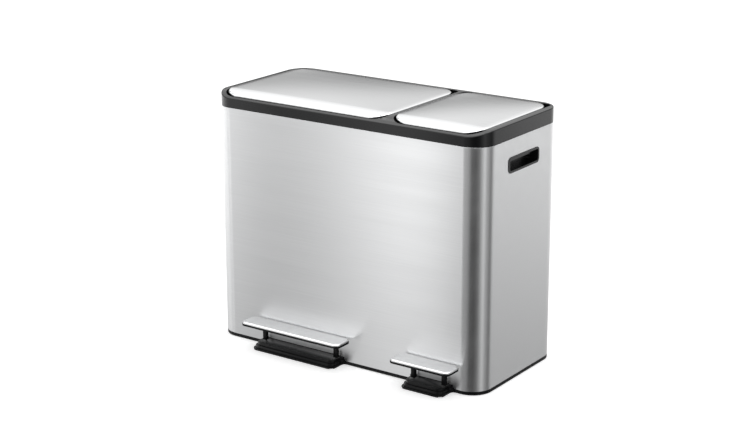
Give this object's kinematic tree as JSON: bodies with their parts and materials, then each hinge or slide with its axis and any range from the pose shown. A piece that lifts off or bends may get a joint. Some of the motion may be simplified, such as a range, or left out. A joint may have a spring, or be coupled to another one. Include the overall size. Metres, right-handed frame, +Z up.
{
  "type": "double recycling bin",
  "caption": "Wide steel pedal bin with side-by-side lids, each lifted by its own pedal over a hanging bucket, with a black top collar, base, floor guards and side grips.",
  "frame": {"origin": "on the floor, in the middle of the whole footprint, treads included", "axes": "+X along the front towards the smaller lid, +Y from the treads to the rear, +Z up"},
  "size_m": [0.5924, 0.314, 0.483],
  "materials": {
    "brushed_steel": "fine brushed stainless steel",
    "plain_steel": "plain zinc-coated steel",
    "black_plastic": "black, smooth",
    "grey_plastic": "dark grey, matte",
    "rubber": "black rubber"
  },
  "bodies": {
    "cabinet": {"body_shell": "brushed_steel", "base_moulding": "black_plastic", "top_collar": "black_plastic", "grip_insert_left": "black_plastic", "grip_insert_right": "black_plastic", "foot_1": "rubber", "foot_2": "rubber", "foot_3": "rubber", "foot_4": "rubber", "pedal_axle_large": "plain_steel", "hinge_pin_large_left": "plain_steel", "hinge_pin_large_right": "plain_steel", "lid_damper_large": "black_plastic", "lid_bumper_large_left": "rubber", "lid_bumper_large_right": "rubber", "pedal_axle_small": "plain_steel", "hinge_pin_small_left": "plain_steel", "hinge_pin_small_right": "plain_steel", "lid_damper_small": "black_plastic", "lid_bumper_small_left": "rubber", "lid_bumper_small_right": "rubber"},
    "lid_large": {"lid_skin_large": "brushed_steel", "lid_pan_large": "black_plastic"},
    "pedal_large": {"pedal_tread_large": "brushed_steel", "pedal_frame_large": "black_plastic", "pedal_lever_large": "plain_steel", "pedal_screw_large_left": "plain_steel", "pedal_screw_large_right": "plain_steel"},
    "rod_large": {"lift_rod_large": "plain_steel"},
    "liner_large": {"bucket_large": "grey_plastic"},
    "lid_small": {"lid_skin_small": "brushed_steel", "lid_pan_small": "black_plastic"},
    "pedal_small": {"pedal_tread_small": "brushed_steel", "pedal_frame_small": "black_plastic", "pedal_lever_small": "plain_steel", "pedal_screw_small_left": "plain_steel", "pedal_screw_small_right": "plain_steel"},
    "rod_small": {"lift_rod_small": "plain_steel"},
    "liner_small": {"bucket_small": "grey_plastic"}
  },
  "joints": [
    {"name": "lid_large_hinge", "type": "hinge", "parent": "cabinet", "child": "lid_large", "pos_m": [-0.09205, 0.1325, 0.4703], "axis": [-1, 0, 0], "range_deg": [0, 80]},
    {"name": "pedal_large_pivot", "type": "hinge", "parent": "cabinet", "child": "pedal_large", "pos_m": [-0.09205, -0.073, 0.024], "axis": [1, 0, 0], "range_deg": [0, 9.5]},
    {"name": "rod_large_pivot", "type": "hinge", "parent": "pedal_large", "child": "rod_large", "pos_m": [-0.09205, 0.11402, 0.00851], "axis": [-1, 0, 0], "range_deg": [0, 9.5]},
    {"name": "bucket_large_lift", "type": "slide", "parent": "cabinet", "child": "liner_large", "axis": [0, 0, 1], "range_m": [0, 0.02]},
    {"name": "lid_small_hinge", "type": "hinge", "parent": "cabinet", "child": "lid_small", "pos_m": [0.1946, 0.1325, 0.4703], "axis": [-1, 0, 0], "range_deg": [0, 80]},
    {"name": "pedal_small_pivot", "type": "hinge", "parent": "cabinet", "child": "pedal_small", "pos_m": [0.1946, -0.073, 0.024], "axis": [1, 0, 0], "range_deg": [0, 9.5]},
    {"name": "rod_small_pivot", "type": "hinge", "parent": "pedal_small", "child": "rod_small", "pos_m": [0.1946, 0.11402, 0.00851], "axis": [-1, 0, 0], "range_deg": [0, 9.5]},
    {"name": "bucket_small_lift", "type": "slide", "parent": "cabinet", "child": "liner_small", "axis": [0, 0, 1], "range_m": [0, 0.02]}
  ],
  "couplings": [
    {"joint": "pedal_large_pivot", "follows": "lid_large_hinge", "ratio": 0.11875},
    {"joint": "rod_large_pivot", "follows": "lid_large_hinge", "ratio": 0.11875},
    {"joint": "pedal_small_pivot", "follows": "lid_small_hinge", "ratio": 0.11875},
    {"joint": "rod_small_pivot", "follows": "lid_small_hinge", "ratio": 0.11875}
  ]
}
